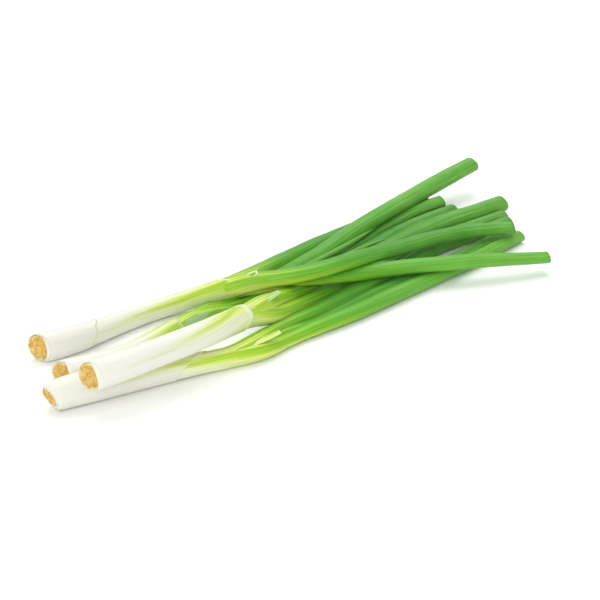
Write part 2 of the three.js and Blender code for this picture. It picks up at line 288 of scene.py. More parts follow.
    # The route there
    route = add_node(tree, "GeometryNodeMeshToCurve", {"Mesh": given["Geometry"]})
    samples = []
    for size in ("half_width", "half_height"):
        value = add_node(tree, "GeometryNodeInputNamedAttribute", {"Name": size}, data_type="FLOAT")
        samples.append(add_node(tree, "GeometryNodeSampleCurve", {
            "Curves": route, "Value": value, "Length": reach,
        }, mode="LENGTH", data_type="FLOAT", use_all_curves=True).outputs)
    tangent = samples[0]["Tangent"]
    side = add_node(tree, "ShaderNodeVectorMath", {0: (0, 0, 1), 1: tangent}, operation="CROSS_PRODUCT")
    side = add_node(tree, "ShaderNodeVectorMath", {0: side}, operation="NORMALIZE")
    upward = add_node(tree, "ShaderNodeVectorMath", {0: tangent, 1: side}, operation="CROSS_PRODUCT")

    # How much further out the skin lies there: ribs, crumples and a lifted end
    rib = add_node(tree, "ShaderNodeMath", {0: given["Ribs"], 1: angle}, operation="MULTIPLY")
    rib = add_node(tree, "ShaderNodeMath", {0: rib}, operation="COSINE")
    rib = add_node(tree, "ShaderNodeMath", {0: given["Rib Height"], 1: rib}, operation="MULTIPLY")
    drawn = add_node(tree, "ShaderNodeMath", {0: reach, 1: CRUMPLES_PER_METRE}, operation="MULTIPLY")
    drawn = add_node(tree, "ShaderNodeMath", {0: drawn, 1: given["Seed"]}, operation="ADD")
    crumple_place = add_node(tree, "ShaderNodeCombineXYZ", {"X": cosine, "Y": sine, "Z": drawn})
    crumple = add_node(tree, "ShaderNodeTexNoise", {"Vector": crumple_place, "Scale": 1.3, "Detail": 3.0})
    crumple = add_node(tree, "ShaderNodeMath", {0: crumple, 1: 0.5}, operation="SUBTRACT")
    crumple = add_node(tree, "ShaderNodeMath", {0: crumple, 1: given["Crumple"]}, operation="MULTIPLY")
    lift = add_node(tree, "ShaderNodeMath", {0: given["End Lift"], 1: along_squared}, operation="MULTIPLY")
    lift = add_node(tree, "ShaderNodeMath", {0: given["Lift"], 1: lift}, operation="ADD")
    added = add_node(tree, "ShaderNodeMath", {0: rib, 1: crumple}, operation="ADD")
    added = add_node(tree, "ShaderNodeMath", {0: added, 1: lift}, operation="ADD")

    # The shoulder rounds down to the start like a quarter of a circle
    falling = add_node(tree, "ShaderNodeMath", {0: from_start, 1: given["Shoulder"]}, operation="DIVIDE")
    falling = add_node(tree, "ShaderNodeMath", {0: 1.0, 1: falling}, operation="SUBTRACT")
    falling = add_node(tree, "ShaderNodeMath", {0: falling, 1: 0.0}, operation="MAXIMUM")
    rounding = add_node(tree, "ShaderNodeMath", {0: falling, 1: falling}, operation="MULTIPLY")
    rounding = add_node(tree, "ShaderNodeMath", {0: 1.0, 1: rounding}, operation="SUBTRACT")
    rounding = add_node(tree, "ShaderNodeMath", {0: rounding}, operation="SQRT")
    rounding = add_node(tree, "ShaderNodeMath", {0: 1.0, 1: rounding}, operation="SUBTRACT")
    rounding = add_node(tree, "ShaderNodeMath", {
        0: given["Shoulder Share"], 1: rounding,
    }, operation="MULTIPLY")
    shoulder = add_node(tree, "ShaderNodeMath", {0: 1.0, 1: rounding}, operation="SUBTRACT")
    position = samples[0]["Position"]
    for sample, turn, direction in ((samples[0], cosine, side), (samples[1], sine, upward)):
        radius = add_node(tree, "ShaderNodeMath", {0: sample["Value"], 1: shoulder}, operation="MULTIPLY")
        radius = add_node(tree, "ShaderNodeMath", {0: radius, 1: added}, operation="ADD")
        radius = add_node(tree, "ShaderNodeMath", {0: radius, 1: turn}, operation="MULTIPLY")
        offset = add_node(tree, "ShaderNodeVectorMath", {0: direction, "Scale": radius}, operation="SCALE")
        position = add_node(tree, "ShaderNodeVectorMath", {0: position, 1: offset}, operation="ADD")

    # What the materials read: the place on the straightened skin, and the distance to a free edge
    wound = add_node(tree, "ShaderNodeMath", {0: given["Twist"], 1: along_cubed}, operation="MULTIPLY")
    wound = add_node(tree, "ShaderNodeMath", {0: angle, 1: wound}, operation="ADD")
    from_root = add_node(tree, "ShaderNodeMath", {0: reach, 1: given["Root Distance"]}, operation="ADD")
    straight = add_node(tree, "ShaderNodeCombineXYZ", {
        "X": add_node(tree, "ShaderNodeMath", {0: wound}, operation="COSINE"),
        "Y": add_node(tree, "ShaderNodeMath", {0: wound}, operation="SINE"),
        "Z": add_node(tree, "ShaderNodeMath", {0: from_root, 1: given["Green From"]}, operation="SUBTRACT"),
    })
    closed = add_node(tree, "ShaderNodeMath", {0: span, 1: NEARLY_FULL_TURN}, operation="GREATER_THAN")
    to_side = add_node(tree, "ShaderNodeMath", {0: across}, operation="ABSOLUTE")
    to_side = add_node(tree, "ShaderNodeMath", {0: 0.5, 1: to_side}, operation="SUBTRACT")
    to_side = add_node(tree, "ShaderNodeMath", {0: to_side, 1: span}, operation="MULTIPLY")
    to_side = add_node(tree, "ShaderNodeMath", {0: to_side, 1: samples[0]["Value"]}, operation="MULTIPLY")
    to_side = add_node(tree, "ShaderNodeMath", {0: to_side, 1: closed}, operation="ADD")
    to_margin = add_node(tree, "ShaderNodeMath", {0: to_end, 1: to_side}, operation="MINIMUM")
    skin = grid
    for name, kind, value in (("straight", "FLOAT_VECTOR", straight), ("margin", "FLOAT", to_margin),
                              ("age_and_shade", "FLOAT", given["Age"]), ("rooted", "FLOAT", from_start)):
        skin = add_node(tree, "GeometryNodeStoreNamedAttribute", {
            "Geometry": skin, "Name": name, "Value": value,
        }, data_type=kind, domain="POINT")
    skin = add_node(tree, "GeometryNodeSetPosition", {"Geometry": skin, "Position": position})
    skin = add_node(tree, "GeometryNodeFlipFaces", {"Mesh": skin})
    skin = add_node(tree, "GeometryNodeMergeByDistance", {"Geometry": skin, "Distance": SEAM})

    # The wall: an inner face, and a rim at each free edge
    inwards = add_node(tree, "ShaderNodeMath", {0: given["Wall"], 1: -1.0}, operation="MULTIPLY")
    inner = add_node(tree, "GeometryNodeExtrudeMesh", {
        "Mesh": skin, "Offset Scale": inwards, "Individual": False,
    }, mode="FACES")
    walls = inner.outputs["Mesh"]
    for part, number in (("Top", 1.0), ("Side", 2.0)):
        walls = add_node(tree, "GeometryNodeStoreNamedAttribute", {
            "Geometry": walls, "Selection": inner.outputs[part], "Name": "wall", "Value": number,
        }, data_type="FLOAT", domain="FACE")
    walls = add_node(tree, "GeometryNodeFlipFaces", {"Mesh": walls})
    whole = add_node(tree, "GeometryNodeJoinGeometry")
    for part in (skin, walls):
        tree.links.new(part.outputs[0], whole.inputs[0])
    whole = add_node(tree, "GeometryNodeMergeByDistance", {"Geometry": whole, "Distance": SEAM})
    whole = add_node(tree, "GeometryNodeSetShadeSmooth", {"Geometry": whole})
    whole = add_node(tree, "GeometryNodeRealizeInstances", {"Geometry": whole})
    whole = add_node(tree, "GeometryNodeSetMaterial", {"Geometry": whole, "Material": given["Material"]})
    add_node(tree, "NodeGroupOutput", {"Geometry": whole})
    return tree


def finished(carrier, name, tree, values):
    """The plain mesh object that a geometry node tree makes of a carrier object."""
    modifier = carrier.modifiers.new(tree.name, "NODES")
    modifier.node_group = tree
    for item in tree.interface.items_tree:
        if item.in_out == "INPUT" and item.name in values:
            modifier[item.identifier] = values[item.name]
    graph = bpy.context.evaluated_depsgraph_get()
    mesh = bpy.data.meshes.new_from_object(carrier.evaluated_get(graph))
    mesh.name = name
    bpy.data.objects.remove(carrier)
    made = bpy.data.objects.new(name, mesh)
    bpy.context.scene.collection.objects.link(made)
    return made


skin_tree = wrapped_skin_tree()


def wrap(name, route, material, sizes):
    """A thin skin wrapped round a route."""
    line = bpy.data.meshes.new(name)
    line.from_pydata(route[:, :3].tolist(), [(i, i + 1) for i in range(len(route) - 1)], [])
    for column, size in ((3, "half_width"), (4, "half_height")):
        values = route[:, column].astype(np.float32)
        line.attributes.new(size, "FLOAT", "POINT").data.foreach_set("value", values)
    carrier = bpy.data.objects.new(name, line)
    bpy.context.scene.collection.objects.link(carrier)
    all_round = {"From Angle": -math.pi, "To Angle": math.pi, "Shoulder": 1.0, "Shoulder Share": 0.0}
    return finished(carrier, name, skin_tree, {**all_round, **sizes, "Material": material})


# Living leaf skin: a smooth, slightly waxy skin that scatters light inside, with long stripes
# where it turns from white to green, fine veins, and a pale bloom far from the root. Its stripes
# and veins lie on the straightened skin, in radii round it and metres along it.
STRIPE_LENGTH = 125 * mm
GREENING_LENGTH = 160 * mm
MARGIN_START = 7 * mm
NO_MARGIN = 0.1 * mm
# The bloom lies in patches about 9 mm wide
PATCHES = 0.11 / mm
SKIN_COLOURS = (
    (0.0, "#E4E4D6"),
    (0.12, "#E0E5C2"),
    (0.3, "#D0DE76"),
    (0.46, "#AECF3A"),
    (0.62, "#86BC2A"),
    (0.8, "#60A926"),
)
GROWN_GREEN = "#509E24"
YOUNG_GREEN = "#5CA62C"
# The green of old leaves, also used as painted shade on the leaf that lies in the shade of the others
OLD_AND_SHADED_GREEN = "#30801F"
STREAK_GREEN = "#98CA3C"
BLOOM = "#86BC62"
INSIDE_GREEN = "#C9DF96"
CUT_GREEN = "#A5D04A"


def leaf_skin(name, margin_width=NO_MARGIN, margin_colour=CUT_GREEN, margin_cover=0.0, grown=GROWN_GREEN):
    """Living leaf skin with a thin, pale margin of a given width, and its colour far from the root."""
    material, tree = new_material(name)
    spot = add_node(tree, "ShaderNodeAttribute", attribute_name="straight")
    drawn_out = add_node(tree, "ShaderNodeMapping", {"Vector": spot.outputs["Vector"], "Scale": (1, 1, 2.5)})
    stripes = add_node(tree, "ShaderNodeTexNoise", {
        "Vector": drawn_out, "Scale": 5.0, "Detail": 3.0, "Roughness": 0.6,
    })
    veins = add_node(tree, "ShaderNodeTexNoise", {"Vector": drawn_out, "Scale": 13.0, "Detail": 2.0})
    height = add_node(tree, "ShaderNodeSeparateXYZ", {0: spot.outputs["Vector"]}).outputs["Z"]
    sides = add_node(tree, "ShaderNodeTexNoise", {"Vector": drawn_out, "Scale": 1.1, "Detail": 0.0})
    mixed = add_node(tree, "ShaderNodeMath", {0: stripes, 1: sides}, operation="ADD")
    shift = add_node(tree, "ShaderNodeMath", {0: mixed, 1: 1.0}, operation="SUBTRACT")
    shifted = add_node(tree, "ShaderNodeMath", {
        0: shift, 1: STRIPE_LENGTH, 2: height,
    }, operation="MULTIPLY_ADD")
    greening = add_node(tree, "ShaderNodeMath", {0: shifted, 1: GREENING_LENGTH}, operation="DIVIDE")
    colours = add_node(tree, "ShaderNodeValToRGB", {"Fac": greening})
    steps = colours.color_ramp.elements
    while len(steps) < len(SKIN_COLOURS) + 1:
        steps.new(0.5)
    for step, (place, colour) in zip(steps, SKIN_COLOURS + ((1.0, grown),)):
        step.position = place
        step.color = linear(colour)

    # Old leaves are a darker green, which also serves as painted shade on a leaf that lies in the shade of
    # others; yellow-green streaks run along the leaves, and the far half has a bloom
    age_and_shade = add_node(tree, "ShaderNodeAttribute", attribute_name="age_and_shade").outputs["Fac"]
    green_share = add_node(tree, "ShaderNodeMapRange", {
        "Value": greening, "From Min": 0.55, "From Max": 1.3, "To Max": 1.0,
    })
    aged_and_shaded = add_node(tree, "ShaderNodeMath", {0: age_and_shade, 1: green_share.outputs[0]}, operation="MULTIPLY")
    streak = add_node(tree, "ShaderNodeMapRange", {
        "Value": stripes, "From Min": 0.5, "From Max": 0.75, "To Max": 0.5,
    })
    streaked = add_node(tree, "ShaderNodeMath", {0: streak, 1: green_share.outputs[0]}, operation="MULTIPLY")
    patches = add_node(tree, "ShaderNodeTexNoise", {
        "Vector": add_node(tree, "ShaderNodeTexCoord").outputs["Object"], "Scale": PATCHES, "Detail": 4.0,
    })
    far = add_node(tree, "ShaderNodeMapRange", {
        "Value": height, "From Min": 0.1, "From Max": 0.26, "To Max": 0.5,
    })
    bloom = add_node(tree, "ShaderNodeMath", {0: far, 1: patches}, operation="MULTIPLY")
    colour = colours
    for share, over in ((aged_and_shaded, OLD_AND_SHADED_GREEN), (streaked, STREAK_GREEN), (bloom, BLOOM)):
        colour = add_node(tree, "ShaderNodeMix", {
            0: share, 6: colour, 7: linear(over),
        }, data_type="RGBA").outputs[2]
    vein_light = add_node(tree, "ShaderNodeMapRange", {
        "Value": veins, "From Min": 0.3, "From Max": 0.7, "To Min": 0.76, "To Max": 1.16,
    })
    vein_share = add_node(tree, "ShaderNodeMapRange", {"Value": greening, "From Max": 0.6, "To Min": 0.2})
    colour = add_node(tree, "ShaderNodeMix", {
        0: vein_share.outputs[0], 6: colour, 7: vein_light,
    }, data_type="RGBA", blend_type="MULTIPLY").outputs[2]

    # The inner wall is paler, the cut rim of a green leaf is bright, and the free edge is thin
    wall = add_node(tree, "ShaderNodeAttribute", attribute_name="wall").outputs["Fac"]
    inside = add_node(tree, "ShaderNodeMath", {0: wall, 1: 0.5}, operation="GREATER_THAN")
    inside_share = add_node(tree, "ShaderNodeMath", {0: inside, 1: 0.45}, operation="MULTIPLY")
    cut = add_node(tree, "ShaderNodeMath", {0: wall, 1: 1.5}, operation="GREATER_THAN")
    leafy = add_node(tree, "ShaderNodeMapRange", {"Value": greening, "From Max": 0.6, "To Max": 0.6})
    cut_share = add_node(tree, "ShaderNodeMath", {0: cut, 1: leafy.outputs[0]}, operation="MULTIPLY")
    margin = add_node(tree, "ShaderNodeAttribute", attribute_name="margin").outputs["Fac"]
    waved = add_node(tree, "ShaderNodeMath", {
        0: patches, 1: -margin_width, 2: margin,
    }, operation="MULTIPLY_ADD")
    thin = add_node(tree, "ShaderNodeMapRange", {
        "Value": waved, "From Min": 0.0, "From Max": margin_width, "To Min": margin_cover, "To Max": 0.0,
    }).outputs[0]
    rooted = add_node(tree, "ShaderNodeAttribute", attribute_name="rooted").outputs["Fac"]
    free = add_node(tree, "ShaderNodeMapRange", {"Value": rooted, "From Max": MARGIN_START, "To Max": thin})
    for share, over in ((inside_share, INSIDE_GREEN), (cut_share, CUT_GREEN), (free, margin_colour)):
        colour = add_node(tree, "ShaderNodeMix", {
            0: share, 6: colour, 7: linear(over),
        }, data_type="RGBA").outputs[2]

    roughness = add_node(tree, "ShaderNodeMapRange", {
        "Value": bloom, "From Max": 0.5, "To Min": 0.36, "To Max": 0.6,
    })
    relief = add_node(tree, "ShaderNodeBump", {"Strength": 0.35, "Distance": 0.15 * mm, "Height": veins})
    surface = add_node(tree, "ShaderNodeBsdfPrincipled", {
        "Base Color": colour, "Roughness": roughness, "Normal": relief, "IOR": 1.42,
        "Specular IOR Level": 0.35, "Subsurface Weight": 0.25, "Subsurface Radius": (1.0, 1.0, 0.5),
        "Subsurface Scale": 1.2 * mm,
    })
    add_node(tree, "ShaderNodeOutputMaterial", {"Surface": surface})
    return material


packed_skin = leaf_skin("packed leaf bases")
# How far from the root each onion starts to turn green
GREEN_FROM = {"a": 60 * mm, "b": 64 * mm, "c": 30 * mm, "d": 54 * mm}
SEEDS = {"a": 3.0, "b": 11.0, "c": 7.0, "d": 19.0}
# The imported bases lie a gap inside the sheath, and narrow to a share of their width at the end
SKIN_GAP = 0.45 * mm
NECK_TAPER = 14 * mm
NECK_SHARE = 0.45
BASES_END = 0.5 * mm
BASES_WALL = 0.8 * mm
BASES_RIBS = 17.0
BASES_CRUMPLE = 0.5 * mm
RIB_HEIGHT = 0.05 * mm
SKIN_ROWS = 90
SKIN_COLUMNS = 97

for onion in "abcd":
    route = stalk_routes[onion].copy()
    gaps = np.linalg.norm(np.diff(route[:, :3], axis=0), axis=1)
    from_end = np.concatenate([gaps[::-1].cumsum()[::-1], [0]])
    taper = np.sin(np.clip(from_end / NECK_TAPER, 0, 1) * math.pi / 2)
    route[:, 3:] = (route[:, 3:] - SKIN_GAP) * (NECK_SHARE + (1 - NECK_SHARE) * taper)[:, None]
    stalk = wrap(f"onion_{onion}_packed_bases", route, packed_skin, {
        "Start": ROUTE_SPARE + TO_STALK, "End": ROUTE_SPARE + stalk_lengths[onion] - BASES_END,
        "Wall": BASES_WALL, "Ribs": BASES_RIBS, "Rib Height": RIB_HEIGHT, "Crumple": BASES_CRUMPLE,
        "Root Distance": -ROUTE_SPARE, "Green From": GREEN_FROM[onion],
        "Rows": SKIN_ROWS, "Columns": SKIN_COLUMNS, "Seed": SEEDS[onion],
    })
    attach(stalk, "root")
    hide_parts(f"onion_{onion}_stalk")


# Outer sheaths
# The outermost leaf's base is a tube round each stalk. It is white, tears off with a leaning,
# ragged edge below the neck, and thins there to a clear, pale margin.
sheath_skins = {
    "a": leaf_skin("white sheath with a thin edge", 1.1 * mm, "#F0F4DF", 0.85),
    "b": leaf_skin("white sheath with a clear edge", 3.2 * mm, "#E4EEC9", 0.8),
    "c": leaf_skin("torn clear sheath", 2 * mm, "#C4D9B4", 0.75),
    "d": leaf_skin("white sheath with a fine edge", 0.8 * mm, "#EFF4DA", 0.75),
}
# How much of the stalk each sheath leaves bare, how far its edge leans upwards and to the side, how
# ragged it is, how its stripes wind, how much paler it is, and how far it rounds in at the root
SHEATH_BARE = {"a": 9 * mm, "b": 19 * mm, "c": 30 * mm, "d": 36 * mm}
SHEATH_LEAN = {"a": 2 * mm, "b": -4 * mm, "c": -3 * mm, "d": -6 * mm}
SHEATH_LEAN_SIDE = {"a": 9 * mm, "b": 2 * mm, "c": 2 * mm, "d": -9 * mm}
SHEATH_RAGGED = {"a": 2 * mm, "b": 5 * mm, "c": 6 * mm, "d": 5 * mm}
SHEATH_TWIST = {"a": 0.3, "b": 1.2, "c": 0.2, "d": 0.3}
SHEATH_PALER = {"a": 4 * mm, "b": -4 * mm, "c": 4 * mm, "d": 4 * mm}
SHEATH_SHOULDER = {"a": 0.06, "b": 0.03, "c": 0.08, "d": 0.38}
SHOULDER_LENGTH = 5 * mm
SHEATH_SPARE = 6 * mm
SHEATH_WALL = 0.35 * mm
SHEATH_RIBS = 13.0
SHEATH_RIB_HEIGHT = 0.025 * mm
SHEATH_CRUMPLE = 0.4 * mm
# The way that each trimmed root end faces
ROOT_FACES = {
    "a": Vector((-1, -0.35, 0.05)),
    "b": Vector((-1, -0.3, 0.05)),
    "c": Vector((-1, -0.3, 0.1)),
    "d": Vector((-0.97, 0, -0.2)),
}
# Rows of a stalk's route: its root end, and 1 and 11 mm past it
ROOT_END = 1
NEAR_ROOT = 2
PAST_ROOT = 12


def root_directions(onion):
    """Along the stalk at its root end, to its side, and upwards."""
    route = stalk_routes[onion]
    along = Vector(route[PAST_ROOT, :3] - route[NEAR_ROOT, :3]).normalized()
    side = Vector((0, 0, 1)).cross(along).normalized()
    return along, side, along.cross(side)


def root_slant(onion):
    """How far the trimmed root end slants to the side and upwards, as shares of the radius."""
    along, side, upward = root_directions(onion)
    face = ROOT_FACES[onion].normalized()
    return -face.dot(side) / face.dot(along), -face.dot(upward) / face.dot(along)


# Onion a's outermost skin has dried. It stands a little off the sheath and ends early, with a brown
# edge that catches the eye as a thin ragged line.
dried_skin = leaf_skin("dried outermost skin", 0.7 * mm, "#D8C4A0", 0.6)
DRIED_LENGTH = 33 * mm
DRIED_LEAN = -4 * mm
DRIED_LEAN_SIDE = -2 * mm
DRIED_RAGGED = 8 * mm
DRIED_LIFT = 0.4 * mm
DRIED_PALER = 20 * mm
DRIED_WALL = 0.25 * mm
DRIED_ROWS = 40

for onion in "abcd":
    route = stalk_routes[onion]
    radius = route[PAST_ROOT, 3]
    slant_side, slant_up = root_slant(onion)
    trimmed = {
        "Start": ROUTE_SPARE + abs(slant_side) * radius * 0.5, "Start Side": slant_side * radius,
        "Start Up": slant_up * radius, "Shoulder": SHOULDER_LENGTH, "Shoulder Share": SHEATH_SHOULDER[onion],
        "Crumple": SHEATH_CRUMPLE, "Root Distance": -ROUTE_SPARE, "Columns": SKIN_COLUMNS,
    }
    sheath = wrap(f"onion_{onion}_white_sheath", stretched(route, 0, SHEATH_SPARE), sheath_skins[onion], {
        **trimmed, "End": ROUTE_SPARE + stalk_lengths[onion] - SHEATH_BARE[onion],
        "Lean": SHEATH_LEAN[onion], "Lean Side": SHEATH_LEAN_SIDE[onion], "Ragged": SHEATH_RAGGED[onion],
        "Wall": SHEATH_WALL, "Ribs": SHEATH_RIBS, "Rib Height": SHEATH_RIB_HEIGHT,
        "Twist": SHEATH_TWIST[onion], "Green From": GREEN_FROM[onion] + SHEATH_PALER[onion],
        "Rows": SKIN_ROWS, "Seed": SEEDS[onion],
    })
    if onion == "a":
        dried = wrap("dried skin", route, dried_skin, {
            **trimmed, "End": ROUTE_SPARE + DRIED_LENGTH, "Lean": DRIED_LEAN, "Lean Side": DRIED_LEAN_SIDE,
            "Ragged": DRIED_RAGGED, "Lift": DRIED_LIFT, "Wall": DRIED_WALL,
            "Green From": GREEN_FROM[onion] + DRIED_PALER, "Rows": DRIED_ROWS, "Seed": SEEDS[onion] + 4,
        })
        with bpy.context.temp_override(active_object=sheath, selected_editable_objects=[sheath, dried]):
            bpy.ops.object.join()
    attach(sheath, "root")
    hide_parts(f"onion_{onion}_outer_sheath")


# Root plates
# The short, corky stem at the root end, trimmed flat with a knife. Its cut face is dry, tan and
# rough, and the stubs of the cut roots stand on it.
PLATE_RINGS = 14
PLATE_SECTORS = 56
PLATE_THICKNESS = 2.2 * mm
PLATE_DOME = 0.5 * mm
PLATE_UNEVEN = 0.06
UNEVEN_SCALE = 2
PLATE_ROUGHNESS = 0.55 * mm
ROUGH_SCALE = 5
ROUGH_DIMENSION = 1.0
ROUGH_SPREAD = 2.0
ROUGH_OCTAVES = 4
RIM_OF_PLATE = 0.05
STUBS_REACH = 0.93
STUB_LENGTH = 1.3 * mm
STUB_RADIUS = 0.22 * mm
STUB_TAPER = 0.6
STUB_SIDES = 6
STUB_DENSITY = 260000.0

# Dry cork looks matt, mottled in tans about 2 mm wide with finer fibres, and paler at its rim
corky, tree = new_material("dry trimmed root plate")
spot = add_node(tree, "ShaderNodeTexCoord").outputs["Object"]
mottle = add_node(tree, "ShaderNodeTexNoise", {
    "Vector": spot, "Scale": 0.42 / mm, "Detail": 6.0, "Roughness": 0.7,
})
fibres = add_node(tree, "ShaderNodeTexVoronoi", {"Vector": spot, "Scale": 1.5 / mm})
tans = add_node(tree, "ShaderNodeValToRGB", {"Fac": mottle})
steps = tans.color_ramp.elements
steps.new(0.5)
for step, (place, colour) in zip(steps, ((0.3, "#BC9343"), (0.52, "#D9B45E"), (0.72, "#EBD59A"))):
    step.position = place
    step.color = linear(colour)
rim_share = add_node(tree, "ShaderNodeAttribute", attribute_name="rim").outputs["Fac"]
broken = add_node(tree, "ShaderNodeMath", {0: mottle, 1: rim_share}, operation="MULTIPLY")
paler = add_node(tree, "ShaderNodeMapRange", {
    "Value": broken, "From Min": 0.38, "From Max": 0.55, "To Max": 0.7,
})
colour = add_node(tree, "ShaderNodeMix", {
    0: paler.outputs[0], 6: tans, 7: linear("#EADFBE"),
}, data_type="RGBA").outputs[2]
height = add_node(tree, "ShaderNodeMath", {0: fibres.outputs["Distance"], 1: mottle}, operation="ADD")
relief = add_node(tree, "ShaderNodeBump", {"Strength": 0.8, "Distance": 0.3 * mm, "Height": height})
surface = add_node(tree, "ShaderNodeBsdfPrincipled", {
    "Base Color": colour, "Roughness": 0.88, "Normal": relief, "IOR": 1.45,
})
add_node(tree, "ShaderNodeOutputMaterial", {"Surface": surface})


def stubs_tree():
    """Geometry nodes that stand short root stubs on the front of a plate."""
    tree = bpy.data.node_groups.new("root stubs", "GeometryNodeTree")
    face = tree.interface
    face.new_socket("Geometry", in_out="INPUT", socket_type="NodeSocketGeometry")
    for size in ("Stub Length", "Stub Radius", "Density"):
        face.new_socket(size, in_out="INPUT", socket_type="NodeSocketFloat")
    face.new_socket("Seed", in_out="INPUT", socket_type="NodeSocketInt")
    face.new_socket("Material", in_out="INPUT", socket_type="NodeSocketMaterial")
    face.new_socket("Geometry", in_out="OUTPUT", socket_type="NodeSocketGeometry")
    given = add_node(tree, "NodeGroupInput").outputs
    front = add_node(tree, "GeometryNodeInputNamedAttribute", {"Name": "front"}, data_type="FLOAT")
    density = add_node(tree, "ShaderNodeMath", {0: given["Density"], 1: front}, operation="MULTIPLY")
    scattered = add_node(tree, "GeometryNodeDistributePointsOnFaces", {
        "Mesh": given["Geometry"], "Seed": given["Seed"], "Density": density,
    })
    top = add_node(tree, "ShaderNodeMath", {0: given["Stub Radius"], 1: STUB_TAPER}, operation="MULTIPLY")
    stub = add_node(tree, "GeometryNodeMeshCone", {
        "Vertices": STUB_SIDES, "Radius Top": top, "Radius Bottom": given["Stub Radius"],
        "Depth": given["Stub Length"],
    })
    turn = add_node(tree, "FunctionNodeRandomValue", {
        "Min": (-0.7, -0.7, 0.0), "Max": (0.7, 0.7, 3.0), "Seed": given["Seed"],
    }, data_type="FLOAT_VECTOR")
    scale = add_node(tree, "FunctionNodeRandomValue", {
        "Min": (0.6, 0.6, 0.25), "Max": (1.5, 1.5, 1.0), "Seed": given["Seed"],
    }, data_type="FLOAT_VECTOR")
    facing = add_node(tree, "FunctionNodeRotateRotation", {
        "Rotation": scattered.outputs["Rotation"], "Rotate By": turn,
    }, rotation_space="LOCAL")
    standing = add_node(tree, "GeometryNodeInstanceOnPoints", {
        "Points": scattered, "Instance": stub, "Rotation": facing, "Scale": scale,
    })
    whole = add_node(tree, "GeometryNodeJoinGeometry")
    tree.links.new(given["Geometry"], whole.inputs[0])
    tree.links.new(standing.outputs[0], whole.inputs[0])
    whole = add_node(tree, "GeometryNodeRealizeInstances", {"Geometry": whole})
    whole = add_node(tree, "GeometryNodeSetMaterial", {"Geometry": whole, "Material": given["Material"]})
    add_node(tree, "NodeGroupOutput", {"Geometry": whole})
    return tree


root_stubs = stubs_tree()


def plate(onion):
    """The trimmed plate as a mesh: a rough, slightly domed front and a flat back."""
    route = stalk_routes[onion]
    radius = route[PAST_ROOT, 3]
    slant_side, slant_up = root_slant(onion)
    direction, side, upward = root_directions(onion)
    centre = Vector(route[ROOT_END, :3]) + direction * abs(slant_side) * radius * 0.5
    plate_share = 1 - SHEATH_SHOULDER[onion] - RIM_OF_PLATE
    seed = Vector((0, 0, SEEDS[onion]))
    corners, faces, fronts, rims = [], [], [], []
    for depth in (0.0, PLATE_THICKNESS):
        for ring in range(PLATE_RINGS + 1):
            share = ring / PLATE_RINGS
            for sector in range(PLATE_SECTORS):
                angle = FULL_TURN * sector / PLATE_SECTORS
                flat = Vector((math.cos(angle), math.sin(angle), 0)) * share
                uneven = 1 + PLATE_UNEVEN * noise.noise(flat * UNEVEN_SCALE + seed)
                reach = plate_share * radius * share * uneven
                lift = 0.0
                if depth == 0.0:
                    place = flat * ROUGH_SCALE + seed
                    rough = noise.fractal(place, ROUGH_DIMENSION, ROUGH_SPREAD, ROUGH_OCTAVES)
                    lift = PLATE_DOME * (1 - share ** 2) + PLATE_ROUGHNESS * rough
                slant = (slant_side * flat.x + slant_up * flat.y) * radius
                corners.append(centre + direction * (depth + slant - lift)
                               + side * reach * math.cos(angle) + upward * reach * math.sin(angle))
                fronts.append(1.0 if depth == 0.0 and share < STUBS_REACH else 0.0)
                rims.append(share)
    layer = (PLATE_RINGS + 1) * PLATE_SECTORS
    for ring in range(PLATE_RINGS):
        for sector in range(PLATE_SECTORS):
            here = ring * PLATE_SECTORS + sector
            beside = ring * PLATE_SECTORS + (sector + 1) % PLATE_SECTORS
            faces.append((here, beside, beside + PLATE_SECTORS, here + PLATE_SECTORS))
            faces.append((here + layer, here + PLATE_SECTORS + layer,
                          beside + PLATE_SECTORS + layer, beside + layer))
    rim = PLATE_RINGS * PLATE_SECTORS
    for sector in range(PLATE_SECTORS):
        here, beside = rim + sector, rim + (sector + 1) % PLATE_SECTORS
        faces.append((here, beside, beside + layer, here + layer))
    mesh = bpy.data.meshes.new(f"onion_{onion}_plate")
    mesh.from_pydata(corners, [], faces)
    mesh.attributes.new("front", "FLOAT", "POINT").data.foreach_set("value", fronts)
    mesh.attributes.new("rim", "FLOAT", "POINT").data.foreach_set("value", rims)
    shape = bmesh.new()
    shape.from_mesh(mesh)
    bmesh.ops.remove_doubles(shape, verts=shape.verts, dist=SEAM)
    bmesh.ops.recalc_face_normals(shape, faces=shape.faces)
    shape.to_mesh(mesh)
    shape.free()
    return mesh


for onion in "abcd":
    carrier = bpy.data.objects.new(f"onion_{onion}_plate", plate(onion))
    bpy.context.scene.collection.objects.link(carrier)
    plate_object = finished(carrier, f"onion_{onion}_trimmed_plate", root_stubs, {
        "Stub Length": STUB_LENGTH, "Stub Radius": STUB_RADIUS, "Density": STUB_DENSITY,
        "Seed": round(SEEDS[onion]), "Material": corky,
    })
    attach(plate_object, "root")
    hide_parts(f"onion_{onion}_root_plate")


# Tongues
# Where the next sheath ends, a thin tongue of it stands against the neck. It is leaf skin, clear,
# yellow or grey-green, and pale along its edge. Onion c's is a torn flap along its sheath.
tongue_skins = {
    "a": leaf_skin("clear tongue with a white edge", 0.8 * mm, "#F1F5E2", 0.9),
    "b": leaf_skin("grey green tongue", 4 * mm, "#98C486", 0.7),
    "c": leaf_skin("torn grey green flap", 12 * mm, "#A6C79E", 0.85),
    "d": leaf_skin("pale yellow tongue", 0.9 * mm, "#E8F1B4", 0.6),
}
